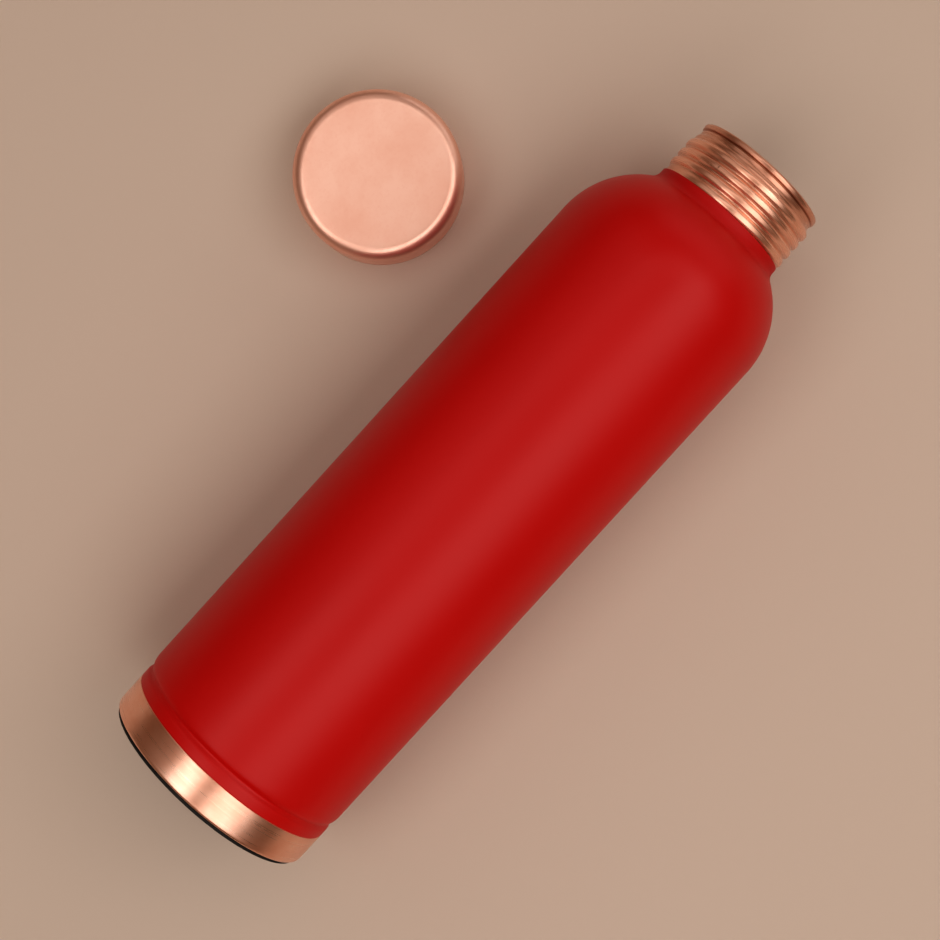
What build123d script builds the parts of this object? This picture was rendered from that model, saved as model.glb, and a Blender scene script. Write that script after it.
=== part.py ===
"""Copper water bottle with a threaded neck and a screw cap.

The bottle lies on its side along X, foot at x = 0 and mouth towards +X, with +Z up.
The cap is off, and stands open side down on the same surface, on the +Y side.
The origin is the centre of the foot's flat end. All sizes are in millimetres.
"""

from build123d import *
import math
import os

os.makedirs("parts", exist_ok=True)

# ---- Driving dimensions ----------------------------------------------------------------------

# Vessel
body_radius = 38.0
sheet = 0.6
shoulder_radius = 30.0
shoulder_start = 207.5
collar_radius = 23.2
collar_top = 236.8
collar_fillet = 4.0

# Rolled groove above the base cup
band_radius = 37.6
band_bottom = 11.9
groove_start = 15.2
groove_centre = 16.6
groove_end = 18.2
groove_floor = 36.9
groove_shoulder = 37.75
groove_runout = 2.3

# Neck and thread
neck_top = 255.7
neck_bottom = 231.0
bore_radius = 21.0
neck_root = collar_radius - sheet
lip_radius = 0.8
lip_band_radius = 22.0
lip_band_bottom = 252.4
lip_band_top = 253.4
thread_pitch = 3.6
thread_turns = 3.5
thread_start = 238.0
thread_ridge = 1.1
thread_crest = 23.4

# Base
flange_height = 3.5
bottom_dome = 2.2
cup_bottom = 1.3
cup_corner_height = 2.8
cup_foot_radius = 37.0
pad_radius = 36.8
pad_groove_radius = 27.0
pad_groove_width = 2.0
pad_groove_depth = 0.4

# Cap
cap_x = 177.0
cap_y = 90.5
cap_radius = 27.35
cap_height = 22.0
cap_wall = 0.8
cap_edge = 4.2
cap_rim_bevel = 0.35
hem_inner_radius = 25.6
liner_root = 23.7
liner_outer = 25.2
liner_flange = 1.0
liner_gap = 0.8
liner_chamfer = 1.0
cap_thread_inner = 22.9
cap_thread_start = 3.2
cap_thread_turns = 2.8
seal_radius = 23.3
seal_thickness = 2.3
seal_gap = 0.3

# ---- Places worked out from the driving dimensions -------------------------------------------

surface = -body_radius
cap_rim = Plane((cap_x, cap_y, surface))
cap_meridian = Plane((cap_x, cap_y, surface), x_dir=(1, 0, 0), z_dir=(0, -1, 0))
cap_axis = Axis((cap_x, cap_y, surface), (0, 0, 1))

shoulder_centre = body_radius - shoulder_radius
fillet_centre_r = collar_radius + collar_fillet
centre_gap = shoulder_radius + collar_fillet
fillet_centre_x = shoulder_start + math.sqrt(centre_gap**2 - (fillet_centre_r - shoulder_centre) ** 2)
blend_angle = math.degrees(math.asin((fillet_centre_r - shoulder_centre) / centre_gap))


def shell_outline(inset):
    """Closed half outline of the vessel wall, from the band to the collar, moved in by inset."""
    Line((band_bottom, 0), (band_bottom, band_radius - inset))
    Line((band_bottom, band_radius - inset), (groove_start, band_radius - inset))
    ThreePointArc(
        (groove_start, band_radius - inset),
        (groove_centre, groove_floor - inset),
        (groove_end, groove_shoulder - inset),
    )
    wall_start = (groove_end + groove_runout, body_radius - inset)
    TangentArc(wall_start, (groove_end, groove_shoulder - inset), tangent=(-1, 0))
    Line(wall_start, (shoulder_start, body_radius - inset))
    CenterArc((shoulder_start, shoulder_centre), shoulder_radius - inset, blend_angle, 90 - blend_angle)
    fillet_size = collar_fillet + inset
    CenterArc((fillet_centre_x, fillet_centre_r), fillet_size, 180 + blend_angle, 90 - blend_angle)
    Line((fillet_centre_x, collar_radius - inset), (collar_top, collar_radius - inset))
    Line((collar_top, collar_radius - inset), (collar_top, 0))
    Line((collar_top, 0), (band_bottom, 0))


# ---- Vessel: spun body, neck and bottom ------------------------------------------------------

# Body wall with its groove, shoulder and collar, coated outside
with BuildPart() as body_shell:
    with BuildSketch(Plane.XY):
        with BuildLine():
            shell_outline(0)
        make_face()
        with BuildLine():
            shell_outline(sheet)
        make_face(mode=Mode.SUBTRACT)
    revolve(axis=Axis.X)

# Neck tube seated in the collar, with a rolled lip and a right-hand round thread
lip_x = neck_top - lip_radius
lip_r = bore_radius + lip_radius

with BuildPart() as neck_finish:
    with BuildSketch(Plane.XY):
        with BuildLine():
            Polyline(
                (lip_x, bore_radius),
                (neck_bottom, bore_radius),
                (neck_bottom, neck_root),
                (lip_band_bottom - (neck_root - lip_band_radius), neck_root),
                (lip_band_bottom, lip_band_radius),
                (lip_band_top, lip_band_radius),
                (lip_x - lip_radius, lip_r),
            )
            CenterArc((lip_x, lip_r), lip_radius, 180, -270)
        make_face()
    revolve(axis=Axis.X)
    with BuildLine():
        thread_path = Helix(
            pitch=thread_pitch,
            height=thread_pitch * thread_turns,
            radius=thread_crest - thread_ridge,
            center=(thread_start, 0, 0),
            direction=(1, 0, 0),
        )
    with BuildSketch(Plane(origin=thread_path @ 0, z_dir=thread_path % 0)):
        Circle(thread_ridge)
    sweep(path=thread_path, is_frenet=True)

# Bottom plate, domed into the vessel, with a flange that seats in the wall below the groove
bottom_radius = band_radius - sheet
bottom_face = band_bottom + flange_height

with BuildPart() as vessel_bottom:
    with BuildSketch(Plane.XY):
        with BuildLine():
            TangentArc(
                (bottom_face + bottom_dome, 0),
                (bottom_face, bottom_radius - sheet),
                tangent=(0, 1),
            )
            Polyline(
                (bottom_face, bottom_radius - sheet),
                (bottom_face - sheet, bottom_radius),
                (band_bottom, bottom_radius),
                (band_bottom, bottom_radius - sheet),
                (bottom_face - 2 * sheet, bottom_radius - sheet),
                (bottom_face - sheet, bottom_radius - 2 * sheet),
            )
            TangentArc(
                (bottom_face + bottom_dome - sheet, 0),
                (bottom_face - sheet, bottom_radius - 2 * sheet),
                tangent=(0, 1),
            )
            Line((bottom_face + bottom_dome - sheet, 0), (bottom_face + bottom_dome, 0))
        make_face()
    revolve(axis=Axis.X)

# ---- Base: bare copper cup and rubber pad ----------------------------------------------------

# Cup pressed over the vessel's foot, with a spigot that locates it inside the flange
spigot_radius = bottom_radius - sheet
cup_corner_x = cup_bottom + (cup_corner_height - cup_bottom) * 0.35
cup_corner_r = band_radius - (band_radius - cup_foot_radius) * 0.4

with BuildPart() as base_cup:
    with BuildSketch(Plane.XY):
        with BuildLine():
            Polyline(
                (cup_bottom + sheet, 0),
                (cup_bottom, 0),
                (cup_bottom, cup_foot_radius),
            )
            ThreePointArc(
                (cup_bottom, cup_foot_radius),
                (cup_corner_x, cup_corner_r),
                (cup_corner_height, band_radius),
            )
            Polyline(
                (cup_corner_height, band_radius),
                (band_bottom, band_radius),
                (band_bottom, spigot_radius),
                (band_bottom + flange_height - 3 * sheet, spigot_radius),
                (band_bottom + flange_height - 3 * sheet, spigot_radius - sheet),
                (band_bottom - sheet, spigot_radius - sheet),
                (band_bottom - sheet, band_radius - sheet),
                (cup_corner_height, band_radius - sheet),
            )
            ThreePointArc(
                (cup_corner_height, band_radius - sheet),
                (cup_corner_x + 0.5 * sheet, cup_corner_r - 0.9 * sheet),
                (cup_bottom + sheet, cup_foot_radius - 0.8 * sheet),
            )
            Line((cup_bottom + sheet, cup_foot_radius - 0.8 * sheet), (cup_bottom + sheet, 0))
        make_face()
    revolve(axis=Axis.X)

# Rubber pad glued under the cup
with BuildPart() as foot_pad:
    with BuildSketch(Plane.YZ):
        Circle(pad_radius)
    extrude(amount=cup_bottom)
    with BuildSketch(Plane.YZ):
        Circle(pad_groove_radius)
        Circle(pad_groove_radius - pad_groove_width, mode=Mode.SUBTRACT)
    extrude(amount=pad_groove_depth, mode=Mode.SUBTRACT)

# ---- Cap: plain outer cup, threaded liner and seal -------------------------------------------

# Outer cup with a rounded top edge and an inward hem at its rim
with BuildPart() as cap_shell:
    with BuildSketch(cap_meridian):
        with BuildLine():
            Polyline(
                (0, cap_height - cap_wall),
                (0, cap_height),
                (cap_radius - cap_edge, cap_height),
            )
            CenterArc((cap_radius - cap_edge, cap_height - cap_edge), cap_edge, 0, 90)
            Polyline(
                (cap_radius, cap_height - cap_edge),
                (cap_radius, cap_rim_bevel),
                (cap_radius - cap_rim_bevel, 0),
                (hem_inner_radius, 0),
                (hem_inner_radius, cap_wall),
                (cap_radius - cap_wall, cap_wall),
                (cap_radius - cap_wall, cap_height - cap_edge),
            )
            CenterArc((cap_radius - cap_edge, cap_height - cap_edge), cap_edge - cap_wall, 0, 90)
            Line((cap_radius - cap_edge, cap_height - cap_wall), (0, cap_height - cap_wall))
        make_face()
    revolve(axis=cap_axis)

# Liner ring that stands on the hem and carries the internal thread
cap_inner_top = cap_height - cap_wall
liner_top = cap_inner_top - liner_gap

with BuildPart() as cap_liner:
    with BuildSketch(cap_meridian):
        with BuildLine():
            Polyline(
                (liner_root, cap_wall),
                (cap_radius - cap_wall, cap_wall),
                (cap_radius - cap_wall, cap_wall + liner_flange),
                (liner_outer, cap_wall + liner_flange),
                (liner_outer, liner_top - 2 * liner_chamfer),
                (liner_outer - liner_chamfer, liner_top),
                (liner_root, liner_top),
                close=True,
            )
        make_face()
    revolve(axis=cap_axis)
    with BuildLine():
        cap_thread_path = Helix(
            pitch=thread_pitch,
            height=thread_pitch * cap_thread_turns,
            radius=cap_thread_inner + thread_ridge,
            center=(cap_x, cap_y, surface + cap_thread_start),
            direction=(0, 0, 1),
        )
    with BuildSketch(Plane(origin=cap_thread_path @ 0, z_dir=cap_thread_path % 0)):
        Circle(thread_ridge)
    sweep(path=cap_thread_path, is_frenet=True)

# Silicone seal under the top of the cap, which stays still while the cap turns
seal_top = surface + cap_inner_top - seal_gap

with BuildPart() as cap_seal:
    with BuildSketch(Plane((cap_x, cap_y, seal_top - seal_thickness))):
        Circle(seal_radius)
    extrude(amount=seal_thickness)

# ---- Write each piece ------------------------------------------------------------------------

pieces = {
    "body_shell": body_shell,
    "neck_finish": neck_finish,
    "vessel_bottom": vessel_bottom,
    "base_cup": base_cup,
    "foot_pad": foot_pad,
    "cap_shell": cap_shell,
    "cap_liner": cap_liner,
    "cap_seal": cap_seal,
}

for name, piece in pieces.items():
    piece.part.label = name
    export_step(piece.part, f"parts/{name}.step")
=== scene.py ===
"""Looks of the copper water bottle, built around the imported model.

The bottle lies along +X and the cap stands beside it on +Y. Everything is in metres. The pieces are meshes of
revolution, and their ends and outer radii come from the CAD nodes' boxes.
"""
import math

import bmesh
import bpy
from mathutils import Euler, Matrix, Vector


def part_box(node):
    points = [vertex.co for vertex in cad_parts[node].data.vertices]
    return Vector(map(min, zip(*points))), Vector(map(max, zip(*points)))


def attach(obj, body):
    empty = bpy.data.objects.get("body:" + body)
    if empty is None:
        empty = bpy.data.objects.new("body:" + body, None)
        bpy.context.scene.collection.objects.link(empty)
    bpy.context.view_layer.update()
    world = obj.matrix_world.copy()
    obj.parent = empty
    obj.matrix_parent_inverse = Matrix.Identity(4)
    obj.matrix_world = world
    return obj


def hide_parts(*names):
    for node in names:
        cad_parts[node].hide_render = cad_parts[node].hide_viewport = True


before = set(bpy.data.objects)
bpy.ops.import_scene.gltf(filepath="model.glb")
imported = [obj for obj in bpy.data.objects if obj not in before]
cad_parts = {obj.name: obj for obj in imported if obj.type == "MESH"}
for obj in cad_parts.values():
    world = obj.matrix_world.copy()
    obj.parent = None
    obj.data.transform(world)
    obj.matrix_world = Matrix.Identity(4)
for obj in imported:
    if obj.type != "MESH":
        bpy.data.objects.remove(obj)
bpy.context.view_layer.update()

# ---- Sizes and places -------------------------------------------------------------------------

MM = 0.001
STEPS = 256
UV_PER_METRE = 10

shell_low, shell_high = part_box("body_shell")
neck_low, neck_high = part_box("neck_finish")
base_low, base_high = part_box("base_cup")
pad_low, pad_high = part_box("foot_pad")
bottom_low, bottom_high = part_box("vessel_bottom")
cap_low, cap_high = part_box("cap_shell")
liner_low, liner_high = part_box("cap_liner")
seal_low, seal_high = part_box("cap_seal")

BODY_R = shell_high.z
FLOOR_Z = shell_low.z
SHEET = 0.6 * MM
COAT = 0.12 * MM

BAND_R = base_high.z
BAND_TOP = shell_low.x
GROOVE_AT = BAND_TOP + 4.7 * MM
GROOVE_DEPTH = 0.75 * MM
GROOVE_WIDTH = 1.05 * MM
WALL_FIRST = BAND_TOP + 2.4 * MM
WALL_START = BAND_TOP + 8.6 * MM
SHOULDER_R = 30 * MM
SHOULDER_START = BAND_TOP + 195.6 * MM
COLLAR_R = 23.2 * MM
COLLAR_TOP = shell_high.x
COLLAR_FILLET = 4 * MM

BORE_R = 21 * MM
NECK_ROOT = COLLAR_R - SHEET
LIP_R = 0.8 * MM
LIP_BAND_R = 22 * MM
PITCH = 3.6 * MM
THREAD_TURNS = 3.5
THREAD_HEIGHT = neck_high.z - NECK_ROOT
THREAD_START = neck_low.x + 7.0 * MM
THREAD_STEPS = 360
FADE_IN = 0.25
FADE_OUT = 0.3
ROUNDING = 1e-5

CAP_CENTRE = Vector(((cap_low.x + cap_high.x) / 2, (cap_low.y + cap_high.y) / 2, cap_low.z))
CAP_R = (cap_high.x - cap_low.x) / 2
CAP_HEIGHT = cap_high.z - cap_low.z
CAP_WALL = 0.8 * MM
CAP_EDGE = 4.2 * MM
HEM_R = 25.6 * MM
LINER_ROOT = 23.7 * MM
LINER_OUTER = 25.2 * MM
LINER_THREAD_START = 3.2 * MM
LINER_THREAD_TURNS = 2.8
LINER_THREAD_HEIGHT = 0.8 * MM

MIDDLE_X = (pad_low.x + neck_high.x) / 2


# ---- Turned meshes ----------------------------------------------------------------------------

def arc(centre, radius, start, end, steps=10):
    """Points (along, out) on an arc, with angles in degrees from the axis direction."""
    points = []
    for i in range(steps + 1):
        angle = math.radians(start + (end - start) * i / steps)
        points.append((centre[0] + radius * math.cos(angle), centre[1] + radius * math.sin(angle)))
    return points


def curve(p0, p1, p2, p3, steps):
    """Points on a cubic Bezier curve."""
    points = []
    for i in range(steps + 1):
        t = i / steps
        w = ((1 - t) ** 3, 3 * t * (1 - t) ** 2, 3 * t * t * (1 - t), t ** 3)
        points.append(tuple(sum(k * p[c] for k, p in zip(w, (p0, p1, p2, p3))) for c in (0, 1)))
    return points


def offset(path, depth):
    """The open path moved to its right by depth, the inner side of a wall drawn from foot to mouth."""
    moved = []
    for i, (a, r) in enumerate(path):
        before = path[max(i - 1, 0)]
        after = path[min(i + 1, len(path) - 1)]
        along = Vector((after[0] - before[0], after[1] - before[1])).normalized()
        moved.append((a + along.y * depth, r - along.x * depth))
    return moved


def divided(path, step):
    """The same path with points no further apart than step."""
    points = [path[0]]
    for (a0, r0), (a1, r1) in zip(path, path[1:]):
        parts = max(1, math.ceil(math.hypot(a1 - a0, r1 - r0) / step))
        points += [(a0 + (a1 - a0) * k / parts, r0 + (r1 - r0) * k / parts) for k in range(1, parts + 1)]
    return points


def turned(name, path, material, body, node, centre=Vector((0, 0, 0)), axis="X",
           relief=None, steps=STEPS):
    """A closed turned piece from a loop of (along, out) points.

    A path that starts and ends on the axis makes a solid, and any other path is a closed ring.
    relief(along, angle, out) is added to its radius.
    """
    solid = path[0][1] == 0 and path[-1][1] == 0
    rows = path[1:-1] if solid else path
    verts = []
    for a, r in rows:
        for k in range(steps):
            angle = 2 * math.pi * k / steps
            out = r + (relief(a, angle, r) if relief else 0)
            c, s = out * math.cos(angle), out * math.sin(angle)
            verts.append((a, c, s) if axis == "X" else (c, s, a))
    faces = []
    rings = len(rows)
    for i in range(rings - 1 if solid else rings):
        j = (i + 1) % rings
        for k in range(steps):
            m = (k + 1) % steps
            faces.append((i * steps + k, j * steps + k, j * steps + m, i * steps + m))
    if solid:
        first, last = len(verts), len(verts) + 1
        ends = [path[0][0], path[-1][0]]
        verts += [(a, 0, 0) if axis == "X" else (0, 0, a) for a in ends]
        for k in range(steps):
            m = (k + 1) % steps
            faces.append((first, k, m))
            faces.append((last, (rings - 1) * steps + m, (rings - 1) * steps + k))
    mesh = bpy.data.meshes.new(name)
    mesh.from_pydata(verts, [], faces)
    mesh.update()
    lengths = [0.0]
    for (a0, r0), (a1, r1) in zip(rows, rows[1:]):
        lengths.append(lengths[-1] + math.hypot(a1 - a0, r1 - r0))
    uv = mesh.uv_layers.new(name="profile")
    for loop in mesh.loops:
        v = loop.vertex_index
        ring = min(v // steps, rings - 1)
        uv.data[loop.index].uv = ((v % steps) / steps, lengths[ring] * UV_PER_METRE)
    fix_normals(mesh)
    mesh.shade_smooth()
    mesh.materials.append(material)
    piece = bpy.data.objects.new(name, mesh)
    bpy.context.scene.collection.objects.link(piece)
    piece.location = centre
    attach(piece, body)
    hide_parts(node)


def fix_normals(mesh):
    """Turns the faces so that they point out of the closed mesh."""
    work = bmesh.new()
    work.from_mesh(mesh)
    bmesh.ops.recalc_face_normals(work, faces=work.faces)
    work.to_mesh(mesh)
    work.free()


def smooth(t):
    """A soft step from 0 to 1."""
    t = min(max(t, 0.0), 1.0)
    return t * t * (3 - 2 * t)


def thread(start, turns, height, start_angle, low, high):
    """Relief of a right-hand thread with wide round crests and narrow valleys.

    It lies between the radii low and high, and fades in and out at its ends.
    """
    def relief(a, angle, out):
        if not low <= out <= high:
            return 0.0
        part = (angle - start_angle) / (2 * math.pi)
        phase = ((a - start) / PITCH) - part
        index = round(phase)
        along = index + part
        hollow = 0.5 - 0.5 * math.cos(2 * math.pi * (phase - index))
        fade = smooth((along + FADE_IN) / FADE_IN) * smooth((turns + FADE_OUT / 2 - along) / FADE_OUT)
        return height * fade * (1 - hollow ** 2)
    return relief


# ---- Materials --------------------------------------------------------------------------------

class Nodes:
    """A short way to build one procedural material."""

    def __init__(self, name):
        self.material = bpy.data.materials.new(name)
        self.material.use_nodes = True
        self.tree = self.material.node_tree
        self.tree.nodes.clear()
        self.shader = self.add("ShaderNodeBsdfPrincipled")
        output = self.add("ShaderNodeOutputMaterial")
        self.link(self.shader.outputs["BSDF"], output.inputs["Surface"])
        self.place = self.add("ShaderNodeTexCoord")

    def add(self, kind, **settings):
        node = self.tree.nodes.new(kind)
        for key, value in settings.items():
            setattr(node, key, value)
        return node

    def link(self, source, target):
        self.tree.links.new(source, target)

    def math(self, operation, a, b=None, c=None):
        node = self.add("ShaderNodeMath", operation=operation)
        for i, value in enumerate((a, b, c)):
            if value is None:
                continue
            if isinstance(value, (int, float)):
                node.inputs[i].default_value = value
            else:
                self.link(value, node.inputs[i])
        return node.outputs[0]

    def noise(self, vector, scale, detail=3, rough=0.5):
        node = self.add("ShaderNodeTexNoise")
        node.inputs["Scale"].default_value = scale
        node.inputs["Detail"].default_value = detail
        node.inputs["Roughness"].default_value = rough
        self.link(vector, node.inputs["Vector"])
        return node.outputs["Fac"]

    def ramp(self, value, low, high, to_low=0.0, to_high=1.0):
        node = self.add("ShaderNodeMapRange")
        node.inputs["From Min"].default_value = low
        node.inputs["From Max"].default_value = high
        node.inputs["To Min"].default_value = to_low
        node.inputs["To Max"].default_value = to_high
        self.link(value, node.inputs["Value"])
        return node.outputs["Result"]

    def mix(self, share, first, second):
        node = self.add("ShaderNodeMix", data_type="RGBA")
        self.link(share, node.inputs["Factor"])
        for value, socket in ((first, node.inputs[6]), (second, node.inputs[7])):
            if isinstance(value, tuple):
                socket.default_value = (*value, 1.0)
            else:
                self.link(value, socket)
        return node.outputs[2]

    def bump(self, height, distance, strength=1.0, normal=None):
        node = self.add("ShaderNodeBump")
        node.inputs["Distance"].default_value = distance
        node.inputs["Strength"].default_value = strength
        self.link(height, node.inputs["Height"])
        if normal is not None:
            self.link(normal, node.inputs["Normal"])
        return node.outputs["Normal"]

    def distance(self, which):
        """The place along X, or R, the distance from the X axis."""
        split = self.add("ShaderNodeSeparateXYZ")
        self.link(self.place.outputs["Object"], split.inputs[0])
        if which == "X":
            return split.outputs["X"]
        squares = [self.math("MULTIPLY", split.outputs[c], split.outputs[c]) for c in "YZ"]
        return self.math("SQRT", self.math("ADD", squares[0], squares[1]))

    def lines(self, around, across, axis="X"):
        """Coordinates that stretch a pattern around the axis: fine across the turning marks, slow along."""
        split = self.add("ShaderNodeSeparateXYZ")
        self.link(self.place.outputs["Object"], split.inputs[0])
        uv = self.add("ShaderNodeSeparateXYZ")
        self.link(self.place.outputs["UV"], uv.inputs[0])
        first, second = ("Y", "Z") if axis == "X" else ("X", "Y")
        join = self.add("ShaderNodeCombineXYZ")
        self.link(self.math("MULTIPLY", uv.outputs["Y"], across / UV_PER_METRE), join.inputs[0])
        self.link(self.math("MULTIPLY", split.outputs[first], around), join.inputs[1])
        self.link(self.math("MULTIPLY", split.outputs[second], around), join.inputs[2])
        return join.outputs[0]


def coat_material():
    """Matt red coat: faint orange peel, fine grain, patches of gloss, and at the collar a rougher coat whose
    colour is darkened as painted shade.
    """
    n = Nodes("red_coat")
    place = n.place.outputs["Object"]
    patches = n.noise(place, 18, 3)
    grain = n.noise(place, 2600, 2)
    peel = n.noise(place, 520, 2)
    # Painted shade: towards the collar top the coat's colour darkens, and the coat there is also rougher.
    edge = n.ramp(n.distance("X"), COLLAR_TOP - 6 * MM, COLLAR_TOP - 2 * MM)
    red = n.mix(patches, (0.54, 0.0014, 0.0008), (0.59, 0.0020, 0.0012))
    # The darker red mixed in near the collar is painted shade.
    n.link(n.mix(edge, red, (0.50, 0.0012, 0.0008)), n.shader.inputs["Base Color"])
    rough = n.math("ADD", n.ramp(patches, 0.3, 0.7, 0.38, 0.44), n.ramp(grain, 0.3, 0.7, -0.02, 0.02))
    rough = n.math("ADD", rough, n.math("MULTIPLY", edge, 0.15))
    n.link(rough, n.shader.inputs["Roughness"])
    n.shader.inputs["Specular IOR Level"].default_value = 0.45
    first = n.bump(peel, 0.02 * MM, 0.35)
    n.link(n.bump(grain, 0.006 * MM, 0.4, first), n.shader.inputs["Normal"])
    return n.material


# Grime and painted shade: the dark copper colour that hollows are mixed towards.
GRIME_AND_PAINTED_SHADE = (0.30, 0.10, 0.045)
SPOT = (0.16, 0.05, 0.02)


def copper_material(name, light, dark, rough, axis="X", brushed=0.6, spots=0.0, speckle=0.0,
                    hollows=(), metal=1.0):
    """Bare copper turned around its axis: brushed lines, thin warm tarnish and a few dark specks.

    hollows holds (coordinate, where unmarked, where darkest, share) for grime and painted shade in hollows. R
    is the distance from the axis.
    """
    n = Nodes(name)
    place = n.place.outputs["Object"]
    cloud = n.noise(place, 55, 4, 0.6)
    colour = n.mix(n.ramp(cloud, 0.35, 0.72), light, dark)
    normal = None
    if brushed > 0:
        fine = n.noise(n.lines(30, 9000, axis), 1.0, 2)
        bands = n.noise(n.lines(12, 1500, axis), 1.0, 3)
        lines = n.math("ADD", n.math("MULTIPLY", fine, 0.5), n.math("MULTIPLY", bands, 0.5))
        colour = n.mix(n.ramp(lines, 0.40, 0.62, 0.0, 0.22), colour, dark)
        soft = n.ramp(lines, 0.35, 0.65, rough - 0.04, rough + 0.06)
        normal = n.bump(lines, 0.012 * MM, 0.35 * brushed + 0.05)
        tangent = n.add("ShaderNodeTangent", direction_type="RADIAL", axis=axis)
        n.link(tangent.outputs[0], n.shader.inputs["Tangent"])
        n.shader.inputs["Anisotropic"].default_value = brushed
        n.shader.inputs["Anisotropic Rotation"].default_value = 0.25
    else:
        fleck = n.noise(place, 900, 3, 0.65)
        colour = n.mix(n.ramp(fleck, 0.52, 0.75, 0.0, 0.4), colour, dark)
        soft = n.ramp(fleck, 0.3, 0.7, rough - 0.03, rough + 0.04)
    # Grime and painted shade: the colour darkens from where a hollow's mark starts to where it is darkest.
    for which, unmarked_at, darkest_at, share in hollows:
        colour = n.mix(n.ramp(n.distance(which), unmarked_at, darkest_at, 0.0, share), colour, GRIME_AND_PAINTED_SHADE)
    if spots:
        marks = n.ramp(n.noise(place, 420, 2, 0.7), 0.71, 0.77, 0.0, spots)
        colour = n.mix(marks, colour, SPOT)
    n.link(colour, n.shader.inputs["Base Color"])
    n.shader.inputs["Metallic"].default_value = metal
    n.link(n.math("ADD", soft, n.ramp(cloud, 0.3, 0.7, -0.02, 0.04)), n.shader.inputs["Roughness"])
    if speckle:
        normal = n.bump(n.noise(place, 3800, 2), 0.02 * MM, speckle, normal)
    n.link(normal, n.shader.inputs["Normal"])
    return n.material


def rubber_material():
    """Black moulded rubber with a fine matt grain and a little dust."""
    n = Nodes("black_rubber")
    place = n.place.outputs["Object"]
    dust = n.ramp(n.noise(place, 160, 4), 0.5, 0.8)
    n.link(n.mix(dust, (0.010, 0.009, 0.009), (0.035, 0.032, 0.030)), n.shader.inputs["Base Color"])
    grain = n.noise(place, 3000, 2)
    n.link(n.ramp(grain, 0.3, 0.7, 0.55, 0.75), n.shader.inputs["Roughness"])
    n.link(n.bump(grain, 0.02 * MM, 0.5), n.shader.inputs["Normal"])
    return n.material


def silicone_material():
    """Milky silicone, softly shiny, with a faint moulded grain."""
    n = Nodes("seal_silicone")
    place = n.place.outputs["Object"]
    cloud = n.noise(place, 90, 3)
    n.link(n.mix(cloud, (0.74, 0.72, 0.67), (0.80, 0.79, 0.76)), n.shader.inputs["Base Color"])
    grain = n.noise(place, 2200, 2)
    n.link(n.ramp(grain, 0.3, 0.7, 0.32, 0.45), n.shader.inputs["Roughness"])
    n.shader.inputs["Subsurface Weight"].default_value = 0.15
    n.shader.inputs["Subsurface Radius"].default_value = (1 * MM, 0.8 * MM, 0.6 * MM)
    n.link(n.bump(grain, 0.01 * MM, 0.4), n.shader.inputs["Normal"])
    return n.material


RED = coat_material()
BAND_COPPER = copper_material("band_copper", (0.96, 0.64, 0.52), (0.84, 0.44, 0.31), 0.29, brushed=0.15)
# Darker towards the thread root. Darkest inside the lip band's radius, which covers the groove under the lip
# bead and the bore. The lip groove's dark line is grime and painted shade.
NECK_HOLLOWS = (
    ("R", NECK_ROOT + 0.35 * MM, NECK_ROOT - 0.1 * MM, 0.35),
    ("R", LIP_BAND_R - 0.03 * MM, LIP_BAND_R - 0.16 * MM, 0.7),
)
NECK_COPPER = copper_material("neck_copper", (0.95, 0.61, 0.48), (0.82, 0.43, 0.30), 0.27, brushed=0.15,
                              spots=0.6, metal=0.93, hollows=NECK_HOLLOWS)
INNER_COPPER = copper_material("inner_copper", (0.82, 0.48, 0.35), (0.66, 0.33, 0.22), 0.34, brushed=0.4)
CAP_COPPER = copper_material("cap_copper", (0.96, 0.63, 0.52), (0.90, 0.54, 0.43), 0.36, axis="Z",
                             brushed=0.0, speckle=0.05, metal=0.86)
LINER_COPPER = copper_material("liner_copper", (0.86, 0.50, 0.37), (0.72, 0.37, 0.24), 0.30, axis="Z",
                               brushed=0.3)
BLACK = rubber_material()
SILICONE = silicone_material()


# ---- Bottle -----------------------------------------------------------------------------------

def vessel_outline():
    """Outer line of the vessel from the base band to the top of the collar."""
    path = [(BAND_TOP, BAND_R - 0.15 * MM)]
    path += arc((BAND_TOP + 0.3 * MM, BAND_R - 0.3 * MM), 0.3 * MM, 160, 90, 4)
    width = WALL_START - WALL_FIRST
    rows = 36
    for i in range(rows + 1):
        a = WALL_FIRST + width * i / rows
        rise = smooth((a - GROOVE_AT) / (WALL_START - GROOVE_AT))
        dip = math.exp(-((a - GROOVE_AT) / GROOVE_WIDTH) ** 2)
        path.append((a, BAND_R + (BODY_R - BAND_R) * rise - GROOVE_DEPTH * dip))
    centre_r = BODY_R - SHOULDER_R
    fillet_r = COLLAR_R + COLLAR_FILLET
    gap = SHOULDER_R + COLLAR_FILLET
    blend = math.degrees(math.asin((fillet_r - centre_r) / gap))
    fillet_x = SHOULDER_START + gap * math.cos(math.radians(blend))
    path += arc((SHOULDER_START, centre_r), SHOULDER_R, 90, blend, 48)
    path += arc((fillet_x, fillet_r), COLLAR_FILLET, 180 + blend, 270, 10)[1:]
    path += arc((COLLAR_TOP - 0.2 * MM, COLLAR_R - 0.2 * MM), 0.2 * MM, 90, 10, 4)
    return path


def build_vessel():
    """Red coat, and under it the copper wall with its bare inside."""
    outline = divided(vessel_outline(), 4 * MM)
    under_coat = offset(outline, COAT)
    wall_outside = offset(outline, COAT * 1.01)
    wall_inside = offset(outline, SHEET)
    turned("coat", outline + under_coat[::-1], RED, "bottle", "body_shell")
    turned("vessel_wall", wall_outside + wall_inside[::-1], INNER_COPPER,
           "bottle", "body_shell")


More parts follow.
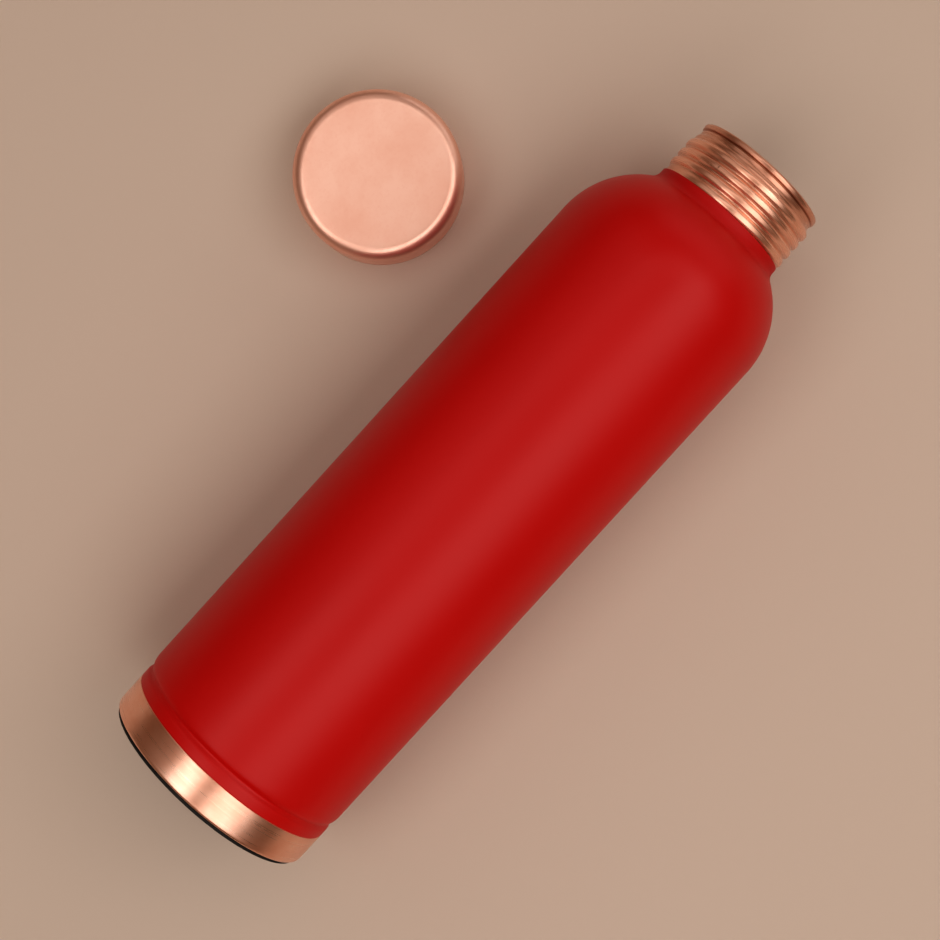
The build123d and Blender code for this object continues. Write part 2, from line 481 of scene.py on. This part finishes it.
def build_neck():
    """Neck tube rolled from sheet: plain foot inside the collar, thread, plain band and lip bead."""
    lip_x = neck_high.x - LIP_R
    thread_end = neck_high.x - 5.0 * MM
    narrowing = 1.6 * MM
    band_low = neck_high.x - 3.4 * MM
    band_high = neck_high.x - 2.5 * MM
    outer = [(neck_low.x, BORE_R + 0.2 * MM), (neck_low.x, NECK_ROOT - 0.2 * MM)]
    outer += divided([(neck_low.x + 0.2 * MM, NECK_ROOT), (thread_end, NECK_ROOT)], 0.16 * MM)
    rows = 12
    for i in range(1, rows + 1):
        a = thread_end + narrowing * i / rows
        outer.append((a, NECK_ROOT + (LIP_BAND_R - NECK_ROOT) * smooth(i / rows)))
    outer += divided([(band_low, LIP_BAND_R), (band_high, LIP_BAND_R)], 0.3 * MM)[1:]
    outer += arc((neck_high.x - 2.2 * MM, LIP_BAND_R), 0.24 * MM, 180, 360, 12)
    outer += arc((neck_high.x - 1.5 * MM, LIP_BAND_R + 0.05 * MM), 0.4 * MM, 150, 90, 5)
    bead = arc((lip_x, BORE_R + LIP_R), LIP_R, 100, -90, 22)
    inner = divided([(lip_x, BORE_R), (neck_low.x, BORE_R)], 1 * MM)[1:]
    relief = thread(THREAD_START, THREAD_TURNS, THREAD_HEIGHT, math.pi / 2,
                    LIP_BAND_R - ROUNDING, NECK_ROOT + ROUNDING)
    turned("neck", outer + bead + inner, NECK_COPPER, "bottle", "neck_finish",
           relief=relief, steps=THREAD_STEPS)


def build_base():
    """Base cup: straight band, convex lower edge, flat underside and the spigot inside the vessel."""
    top = BAND_TOP - 0.02 * MM
    low = base_low.x
    corner = low + 1.2 * MM
    foot_r = BAND_R - 0.45 * MM
    path = [(low + SHEET, 0), (low, 0), (low, foot_r - 0.3 * MM)]
    path += curve((low, foot_r - 0.3 * MM), (low + 0.05 * MM, foot_r + 0.3 * MM),
                  (low + 0.7 * MM, BAND_R), (corner, BAND_R), 16)[1:]
    path += divided([(corner, BAND_R), (top - 0.3 * MM, BAND_R)], 1 * MM)[1:]
    path += arc((top - 0.25 * MM, BAND_R - 0.25 * MM), 0.25 * MM, 90, 0, 5)
    spigot_r = BAND_R - 2 * SHEET
    path += [(top, spigot_r), (base_high.x, spigot_r), (base_high.x, spigot_r - SHEET)]
    path += [(top - SHEET, spigot_r - SHEET), (top - SHEET, BAND_R - SHEET), (corner, BAND_R - SHEET)]
    path += curve((corner, BAND_R - SHEET), (low + 1.0 * MM, BAND_R - SHEET),
                  (low + SHEET, foot_r - 0.2 * MM), (low + SHEET, foot_r - 0.9 * MM), 10)[1:]
    path += [(low + SHEET, 0)]
    turned("base_band", path, BAND_COPPER, "bottle", "base_cup")


def build_pad():
    """Rubber pad: rounded edge and two shallow moulded rings on its face."""
    low, high = pad_low.x, pad_high.x
    r = pad_high.z - 0.3 * MM
    edge = 0.5 * MM
    ring_depth, ring_half = 0.35 * MM, 1.5 * MM
    rows = 12
    path = [(low, 0)]
    for ring_r in (12 * MM, 26 * MM):
        for k in range(rows + 1):
            x = -1 + 2 * k / rows
            path.append((low + ring_depth * math.exp(-(2.4 * x) ** 2), ring_r + x * ring_half))
    path += [(low, r - 2 * MM)]
    path += arc((low + edge, r - edge), edge, 180, 90, 8)
    path += [(high, r), (high, 0)]
    turned("pad", path, BLACK, "bottle", "foot_pad")


def build_bottom():
    """Bottom plate, domed into the vessel, with its flange."""
    radius = bottom_high.z
    face = bottom_low.x + 3.5 * MM
    dome = bottom_high.x - face
    rows = 24
    upper = [(face + dome * (1 - (i / rows) ** 2), (radius - SHEET) * i / rows) for i in range(rows + 1)]
    lower = [(a - SHEET, r) for a, r in upper[:-1]][::-1]
    path = upper + arc((face - SHEET, radius - SHEET), SHEET, 0, 90, 5)[1:]
    path += [(bottom_low.x, radius), (bottom_low.x, radius - SHEET), (face - 2 * SHEET, radius - SHEET)]
    path += lower
    turned("bottom_plate", path, INNER_COPPER, "bottle", "vessel_bottom")


# ---- Cap --------------------------------------------------------------------------------------

def build_cap_cup():
    """Outer cup: flat top, rounded edge, straight side and an inward hem at the rim."""
    top = CAP_HEIGHT
    side = top - CAP_EDGE
    path = [(top, 0)] + divided([(top, 0), (top, CAP_R - CAP_EDGE)], 2 * MM)[1:]
    path += arc((side, CAP_R - CAP_EDGE), CAP_EDGE, 0, 90, 16)[1:]
    path += divided([(side, CAP_R), (0.9 * MM, CAP_R)], 2 * MM)[1:]
    path += arc((0.4 * MM, CAP_R - 0.4 * MM), 0.4 * MM, 90, 180, 6)
    path += [(0, HEM_R + 0.3 * MM)] + arc((0.3 * MM, HEM_R + 0.3 * MM), 0.3 * MM, 180, 270, 4)[1:]
    path += arc((CAP_WALL - 0.2 * MM, HEM_R + 0.2 * MM), 0.2 * MM, 270, 360, 4)
    path += [(CAP_WALL, CAP_R - CAP_WALL), (side, CAP_R - CAP_WALL)]
    path += arc((side, CAP_R - CAP_EDGE), CAP_EDGE - CAP_WALL, 90, 0, 12)[1:]
    path += [(top - CAP_WALL, 0)]
    turned("cap_cup", path, CAP_COPPER, "cap", "cap_shell", centre=CAP_CENTRE, axis="Z")


def build_cap_liner():
    """Threaded liner ring with a flange that stands on the hem."""
    low = liner_low.z - CAP_CENTRE.z
    high = liner_high.z - CAP_CENTRE.z
    flange_r = CAP_R - CAP_WALL - 0.02 * MM
    loop = divided([(high - 0.2 * MM, LINER_ROOT), (low + 0.3 * MM, LINER_ROOT)], 0.2 * MM)
    loop += [(low, LINER_ROOT + 0.3 * MM), (low, flange_r), (low + 1 * MM, flange_r)]
    loop += [(low + 1 * MM, LINER_OUTER), (high - 2 * MM, LINER_OUTER)]
    loop += [(high, LINER_OUTER - 1 * MM), (high, LINER_ROOT + 0.2 * MM)]
    relief = thread(LINER_THREAD_START, LINER_THREAD_TURNS, -LINER_THREAD_HEIGHT, 0,
                    LINER_ROOT - ROUNDING, LINER_ROOT + ROUNDING)
    turned("cap_liner_ring", loop, LINER_COPPER, "cap", "cap_liner",
           centre=CAP_CENTRE, axis="Z", relief=relief)


def build_seal():
    """Seal disc with a raised ring where the lip presses."""
    low = seal_low.z - CAP_CENTRE.z
    high = seal_high.z - CAP_CENTRE.z
    r = (seal_high.x - seal_low.x) / 2
    edge = 0.4 * MM
    ring_r = r - 2.6 * MM
    ring_depth, ring_half = 0.35 * MM, 1.6 * MM
    rows = 16
    path = [(low, 0), (low, 10 * MM)]
    for k in range(rows + 1):
        x = -1 + 2 * k / rows
        path.append((low + ring_depth * (1 - math.exp(-(2.2 * x) ** 2)), ring_r + x * ring_half))
    path += arc((low + ring_depth + edge, r - edge), edge, 180, 90, 5)
    path += arc((high - edge, r - edge), edge, 90, 0, 5)
    path += [(high, 0)]
    turned("seal_disc", path, SILICONE, "seal", "cap_seal", centre=CAP_CENTRE, axis="Z")


# ---- Stage, camera and light ------------------------------------------------------------------

def build_stage():
    """Plain pale floor under the bottle."""
    size = 3.0
    mesh = bpy.data.meshes.new("floor")
    corners = [(-size, -size, 0), (size, -size, 0), (size, size, 0), (-size, size, 0)]
    mesh.from_pydata(corners, [], [(0, 1, 2, 3)])
    floor = bpy.data.objects.new("floor", mesh)
    bpy.context.scene.collection.objects.link(floor)
    floor.location = (0.15, 0, FLOOR_Z)
    n = Nodes("pale_floor")
    n.shader.inputs["Base Color"].default_value = (0.64, 0.54, 0.465, 1)
    n.shader.inputs["Roughness"].default_value = 0.9
    n.shader.inputs["Specular IOR Level"].default_value = 0.1
    mesh.materials.append(n.material)


def softbox(name, place, size, radiance, turn=0.0, aim=None):
    """A soft light at place: along X from the bottle's middle, towards +Y, and over the floor.

    It is level and turned by turn degrees, unless it is aimed at a point.
    """
    data = bpy.data.lights.new(name, "AREA")
    data.shape = "RECTANGLE"
    data.size, data.size_y = size
    data.energy = radiance * math.pi * size[0] * size[1]
    data.color = (1.0, 0.97, 0.94)
    light = bpy.data.objects.new(name, data)
    bpy.context.scene.collection.objects.link(light)
    light.location = (MIDDLE_X + place[0], place[1], FLOOR_Z + place[2])
    light.rotation_euler = Euler((0, 0, math.radians(turn)))
    if aim:
        light.rotation_euler = (Vector(aim) - light.location).to_track_quat("-Z", "Y").to_euler()


def build_light():
    """Warm dim surroundings and soft lights over the bottle, with one towards the mouth."""
    world = bpy.data.worlds.new("studio")
    bpy.context.scene.world = world
    world.use_nodes = True
    back = world.node_tree.nodes["Background"]
    back.inputs["Color"].default_value = (1.0, 0.62, 0.40, 1)
    back.inputs["Strength"].default_value = 0.135
    softbox("foot_softbox", (-0.70, 0.37, 1.2), (1.0, 0.56), 1.60)
    softbox("neck_softbox", (0.51, 0.21, 1.2), (1.5, 0.45), 0.80, turn=-31)
    softbox("right_softbox", (-0.1, -0.67, 1.2), (2.2, 0.86), 1.28)
    softbox("far_softbox", (-0.1, -1.40, 1.2), (2.2, 0.6), 0.55)
    softbox("fill_softbox", (0.5, 1.45, 1.2), (1.9, 1.4), 0.29)
    softbox("key_softbox", (1.05, -0.75, 1.15), (0.5, 0.5), 1.3)
    softbox("mouth_softbox", (1.6, 0, 0.55), (2.0, 0.9), 0.5, aim=(MIDDLE_X, 0, FLOOR_Z + 0.55))


def build_camera():
    """The photo's view from above, fitted to the outlines of the bottle and the cap."""
    data = bpy.data.cameras.new("camera")
    data.lens = 67.7
    data.sensor_width = 36
    camera = bpy.data.objects.new("camera", data)
    bpy.context.scene.collection.objects.link(camera)
    camera.location = (MIDDLE_X + 26.5 * MM, 6.8 * MM, FLOOR_Z + 587.3 * MM)
    camera.rotation_euler = Euler((math.radians(-2.172), math.radians(1.706), math.radians(-47.716)))
    data.clip_start = 0.01
    data.clip_end = 20
    bpy.context.scene.camera = camera


build_vessel()
build_neck()
build_base()
build_pad()
build_bottom()
build_cap_cup()
build_cap_liner()
build_seal()
build_stage()
build_light()
build_camera()
bpy.context.scene.view_settings.view_transform = "Standard"
bpy.context.scene.view_settings.look = "High Contrast"
